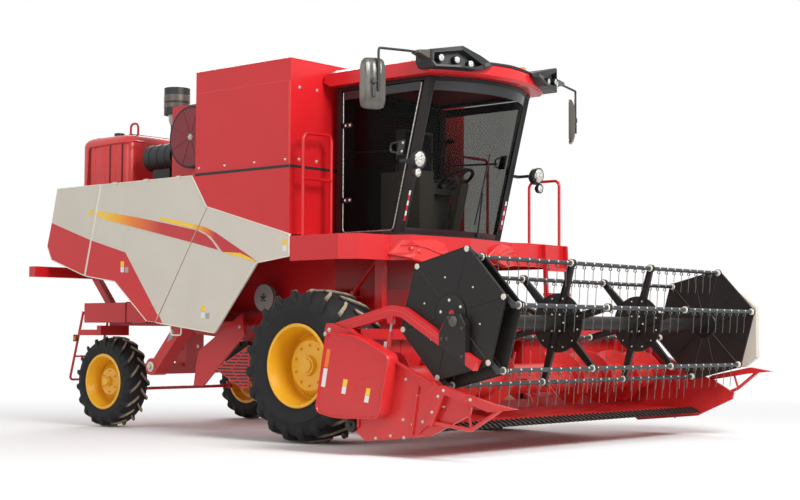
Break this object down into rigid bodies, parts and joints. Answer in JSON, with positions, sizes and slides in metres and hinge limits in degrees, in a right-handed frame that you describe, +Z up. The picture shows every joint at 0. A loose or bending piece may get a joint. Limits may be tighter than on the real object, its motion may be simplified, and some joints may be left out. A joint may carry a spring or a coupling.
{
  "type": "self-propelled grain combine harvester",
  "caption": "Self-propelled wheeled grain combine with a tined reel header, cab, open grain tank and folded unloading tube.",
  "frame": {"origin": "on the ground below the middle of the machine's box, between the header's tips and the rear ladder", "axes": "+X forward to the header, +Y to the machine's left, +Z up"},
  "size_m": [8.04, 4.9, 4.035],
  "materials": {
    "red_paint": "gloss",
    "cream_paint": "gloss",
    "yellow_paint": "gloss",
    "black_paint": "satin",
    "chrome_rod": "polished",
    "tinted_glass": "gloss",
    "black_plastic": "matte",
    "seat_fabric": "woven",
    "engine_iron": "rough",
    "tyre": "matte"
  },
  "bodies": {
    "root": {"chassis_frame": "red_paint", "drive_axle": "red_paint", "steer_axle": "red_paint", "thresher_body": "red_paint", "tank_base": "red_paint", "front_panels": "cream_paint", "rear_hood": "cream_paint", "grain_tank": "red_paint", "engine": "engine_iron", "radiator_box": "red_paint", "fuel_tank": "red_paint", "air_cleaner": "black_plastic", "cab_shell": "black_paint", "cab_roof": "red_paint", "cab_glass": "tinted_glass", "work_lamps": "black_plastic", "mirrors": "black_plastic", "operator_station": "seat_fabric", "platform": "red_paint", "handrails": "red_paint", "ladders": "red_paint", "grain_elevator": "red_paint", "belt_pulleys": "engine_iron", "tool_box": "red_paint"},
    "dust_screen": {"dust_screen": "black_paint"},
    "mid_panel_left": {"mid_panel_left": "cream_paint"},
    "mid_panel_right": {"mid_panel_right": "cream_paint"},
    "unload_tube": {"unload_tube": "red_paint"},
    "cab_door_left": {"cab_door_left": "tinted_glass"},
    "cab_door_right": {"cab_door_right": "tinted_glass"},
    "drive_wheel_left": {"drive_tyre_left": "tyre", "drive_rim_left": "yellow_paint"},
    "drive_wheel_right": {"drive_tyre_right": "tyre", "drive_rim_right": "yellow_paint"},
    "knuckle_left": {"knuckle_left": "red_paint"},
    "knuckle_right": {"knuckle_right": "red_paint"},
    "track_rod": {"track_rod": "red_paint"},
    "steer_wheel_left": {"steer_tyre_left": "tyre", "steer_rim_left": "yellow_paint"},
    "steer_wheel_right": {"steer_tyre_right": "tyre", "steer_rim_right": "yellow_paint"},
    "header": {"feeder_house": "red_paint", "header_frame": "red_paint", "crop_dividers": "red_paint", "cutter_bar": "black_paint"},
    "header_auger": {"header_auger": "red_paint"},
    "reel_arms": {"reel_arms": "red_paint", "reel_drive_cover": "cream_paint"},
    "reel": {"reel": "black_paint"},
    "eccentric_ring": {"eccentric_ring": "black_paint"},
    "lift_barrels": {"lift_barrels": "red_paint"},
    "lift_rods": {"lift_rods": "chrome_rod"},
    "reel_lift_barrels": {"reel_lift_barrels": "red_paint"},
    "reel_lift_rods": {"reel_lift_rods": "chrome_rod"},
    "reel_bat_1": {"reel_bat_1": "black_paint"},
    "reel_bat_2": {"reel_bat_2": "black_paint"},
    "reel_bat_3": {"reel_bat_3": "black_paint"},
    "reel_bat_4": {"reel_bat_4": "black_paint"},
    "reel_bat_5": {"reel_bat_5": "black_paint"},
    "reel_bat_6": {"reel_bat_6": "black_paint"}
  },
  "joints": [
    {"name": "drive_wheel_right", "type": "hinge", "parent": "root", "child": "drive_wheel_right", "pos_m": [0.77, -1.45, 0.78], "axis": [0, 1, 0], "continuous": true},
    {"name": "drive_wheel_left", "type": "hinge", "parent": "root", "child": "drive_wheel_left", "pos_m": [0.77, 1.45, 0.78], "axis": [0, 1, 0], "continuous": true},
    {"name": "steer_left", "type": "hinge", "parent": "root", "child": "knuckle_left", "pos_m": [-2.92, 0.9, 0.535], "axis": [0, 0, 1], "range_deg": [-25, 25]},
    {"name": "steer_right", "type": "hinge", "parent": "root", "child": "knuckle_right", "pos_m": [-2.92, -0.9, 0.535], "axis": [0, 0, 1], "range_deg": [-25, 25]},
    {"name": "track_rod", "type": "hinge", "parent": "knuckle_left", "child": "track_rod", "pos_m": [-3.13, 0.9, 0.43], "axis": [0, 0, 1], "range_deg": [-25, 25]},
    {"name": "steer_wheel_right", "type": "hinge", "parent": "knuckle_right", "child": "steer_wheel_right", "pos_m": [-2.92, -1.14, 0.535], "axis": [0, 1, 0], "continuous": true},
    {"name": "steer_wheel_left", "type": "hinge", "parent": "knuckle_left", "child": "steer_wheel_left", "pos_m": [-2.92, 1.14, 0.535], "axis": [0, 1, 0], "continuous": true},
    {"name": "mid_panel_left", "type": "hinge", "parent": "root", "child": "mid_panel_left", "pos_m": [0.77, 1.435, 2.861], "axis": [1, 0, 0], "range_deg": [0, 70]},
    {"name": "mid_panel_right", "type": "hinge", "parent": "root", "child": "mid_panel_right", "pos_m": [0.77, -1.435, 2.861], "axis": [-1, 0, 0], "range_deg": [0, 70]},
    {"name": "unload_swing", "type": "hinge", "parent": "root", "child": "unload_tube", "pos_m": [0.01, 1.64, 2.72], "axis": [0, 0, -1], "range_deg": [0, 95]},
    {"name": "dust_screen", "type": "hinge", "parent": "root", "child": "dust_screen", "pos_m": [-1.515, -1.18, 3.34], "axis": [0, 1, 0], "continuous": true},
    {"name": "cab_door_left", "type": "hinge", "parent": "root", "child": "cab_door_left", "pos_m": [0.552, 0.861, 2.5], "axis": [0, 0, 1], "range_deg": [0, 75]},
    {"name": "cab_door_right", "type": "hinge", "parent": "root", "child": "cab_door_right", "pos_m": [0.552, -0.861, 2.5], "axis": [0, 0, -1], "range_deg": [0, 75]},
    {"name": "header_lift", "type": "hinge", "parent": "root", "child": "header", "pos_m": [0.47, 0, 1.45], "axis": [0, -1, 0], "range_deg": [-2, 18]},
    {"name": "auger_spin", "type": "hinge", "parent": "header", "child": "header_auger", "pos_m": [2.39, 0, 0.655], "axis": [0, 1, 0], "continuous": true},
    {"name": "reel_lift", "type": "hinge", "parent": "header", "child": "reel_arms", "pos_m": [1.78, 0, 1.138], "axis": [0, -1, 0], "range_deg": [-2, 12]},
    {"name": "reel_spin", "type": "hinge", "parent": "reel_arms", "child": "reel", "pos_m": [3.26, 0, 1.212], "axis": [0, 1, 0], "continuous": true},
    {"name": "bat_1", "type": "hinge", "parent": "reel", "child": "reel_bat_1", "pos_m": [3.42559, 0, 1.77829], "axis": [0, 1, 0], "continuous": true},
    {"name": "bat_2", "type": "hinge", "parent": "reel", "child": "reel_bat_2", "pos_m": [3.83321, 0, 1.35173], "axis": [0, 1, 0], "continuous": true},
    {"name": "bat_3", "type": "hinge", "parent": "reel", "child": "reel_bat_3", "pos_m": [3.66762, 0, 0.78545], "axis": [0, 1, 0], "continuous": true},
    {"name": "bat_4", "type": "hinge", "parent": "reel", "child": "reel_bat_4", "pos_m": [3.09441, 0, 0.64571], "axis": [0, 1, 0], "continuous": true},
    {"name": "bat_5", "type": "hinge", "parent": "reel", "child": "reel_bat_5", "pos_m": [2.68679, 0, 1.07227], "axis": [0, 1, 0], "continuous": true},
    {"name": "bat_6", "type": "hinge", "parent": "reel", "child": "reel_bat_6", "pos_m": [2.85238, 0, 1.63855], "axis": [0, 1, 0], "continuous": true},
    {"name": "eccentric_spin", "type": "hinge", "parent": "reel_arms", "child": "eccentric_ring", "pos_m": [3.18, -2.182, 1.282], "axis": [0, 1, 0], "continuous": true},
    {"name": "lift_barrel", "type": "hinge", "parent": "root", "child": "lift_barrels", "pos_m": [0.77, 0, 0.56], "axis": [0, -1, 0], "range_deg": [-4, 30]},
    {"name": "lift_rod", "type": "slide", "parent": "lift_barrels", "child": "lift_rods", "axis": [0.9925, 0, -0.1226], "range_m": [-0.05, 0.35]},
    {"name": "reel_lift_barrel", "type": "hinge", "parent": "header", "child": "reel_lift_barrels", "pos_m": [2.43, 0, 0.8], "axis": [0, -1, 0], "range_deg": [-3, 9]},
    {"name": "reel_lift_rod", "type": "slide", "parent": "reel_lift_barrels", "child": "reel_lift_rods", "axis": [0.188, 0, 0.9822], "range_m": [-0.04, 0.18]}
  ],
  "couplings": [
    {"joint": "steer_right", "follows": "steer_left", "ratio": 1},
    {"joint": "track_rod", "follows": "steer_left", "ratio": -1},
    {"joint": "bat_1", "follows": "reel_spin", "ratio": -1},
    {"joint": "bat_2", "follows": "reel_spin", "ratio": -1},
    {"joint": "bat_3", "follows": "reel_spin", "ratio": -1},
    {"joint": "bat_4", "follows": "reel_spin", "ratio": -1},
    {"joint": "bat_5", "follows": "reel_spin", "ratio": -1},
    {"joint": "bat_6", "follows": "reel_spin", "ratio": -1},
    {"joint": "eccentric_spin", "follows": "reel_spin", "ratio": 1},
    {"joint": "lift_barrel", "follows": "header_lift", "ratio": 1.2857},
    {"joint": "lift_rod", "follows": "header_lift", "m_per_rad": 0.8958},
    {"joint": "reel_lift_barrel", "follows": "reel_lift", "ratio": 0.5056},
    {"joint": "reel_lift_rod", "follows": "reel_lift", "m_per_rad": 0.6928}
  ]
}
